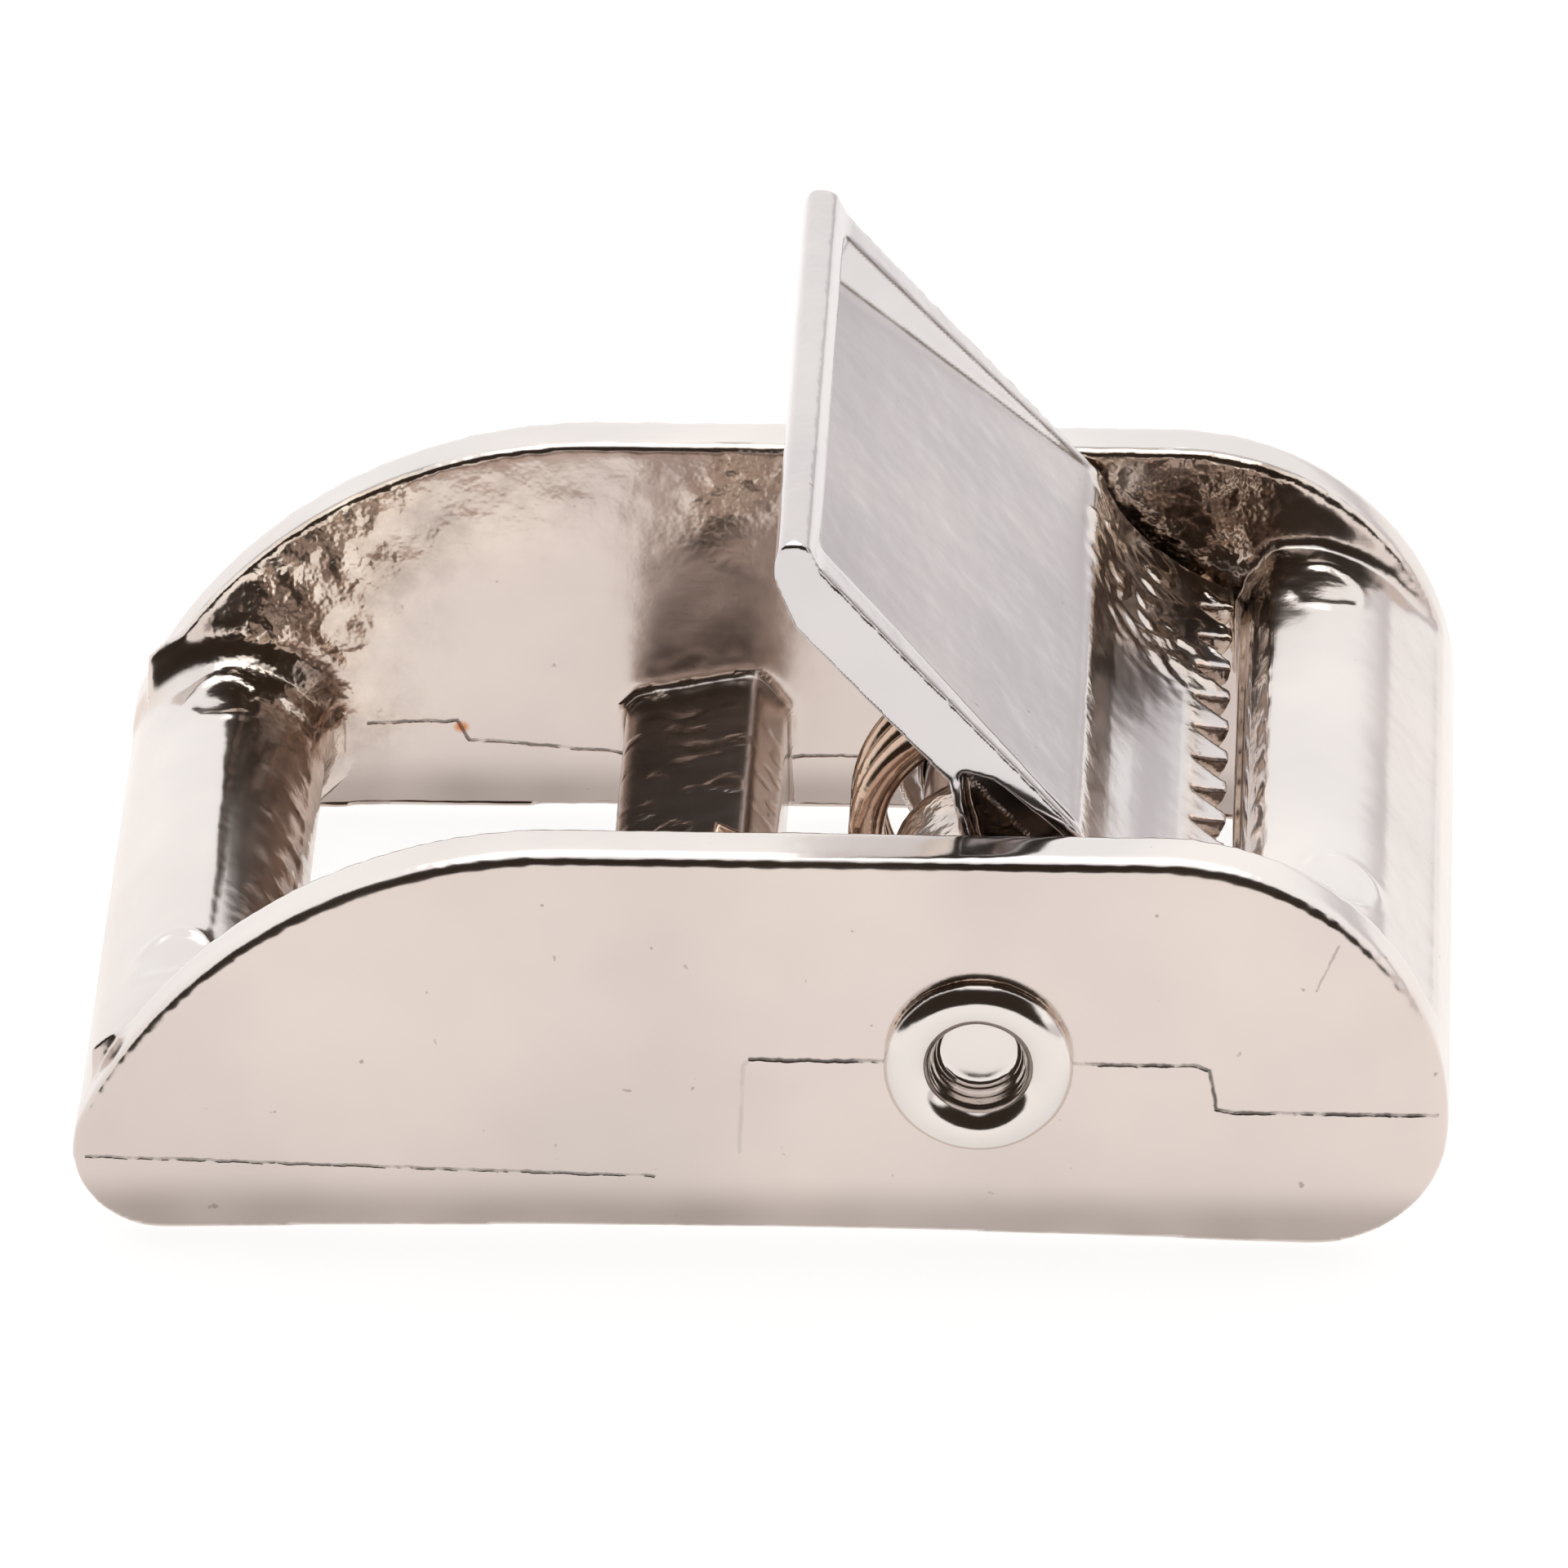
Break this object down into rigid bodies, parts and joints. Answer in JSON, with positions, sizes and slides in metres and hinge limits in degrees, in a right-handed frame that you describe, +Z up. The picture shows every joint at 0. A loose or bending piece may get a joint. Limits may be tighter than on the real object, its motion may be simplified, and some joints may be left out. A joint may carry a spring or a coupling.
{
  "type": "cam buckle",
  "caption": "Die-cast webbing cam buckle: open rectangular frame with webbing bars, a toothed thumb lever on a rivet and a torsion spring.",
  "frame": {"origin": "middle of the rectangle the buckle stands on", "axes": "+X along the webbing towards the toothed end, +Y across the webbing, +Z up through the open top"},
  "size_m": [0.0462, 0.033, 0.0253],
  "materials": {
    "nickel_casting": "nickel-plated zinc casting, satin to mirror",
    "nickel_lever": "nickel-plated zinc casting, satin to mirror",
    "nickel_rivet": "nickel-plated steel, polished",
    "spring_wire": "nickel-plated spring wire, brownish"
  },
  "bodies": {
    "frame": {"frame": "nickel_casting", "pivot_rivet": "nickel_rivet", "torsion_spring": "spring_wire"},
    "lever": {"cam_lever": "nickel_lever"}
  },
  "joints": [
    {"name": "cam_pivot", "type": "hinge", "parent": "frame", "child": "lever", "pos_m": [0.00737, 0, 0.00717], "axis": [0, -1, 0], "range_deg": [0, 50], "stiffness_Nm_per_rad": 0.05, "springref_deg": -34.38, "deforming": ["torsion_spring"]}
  ]
}
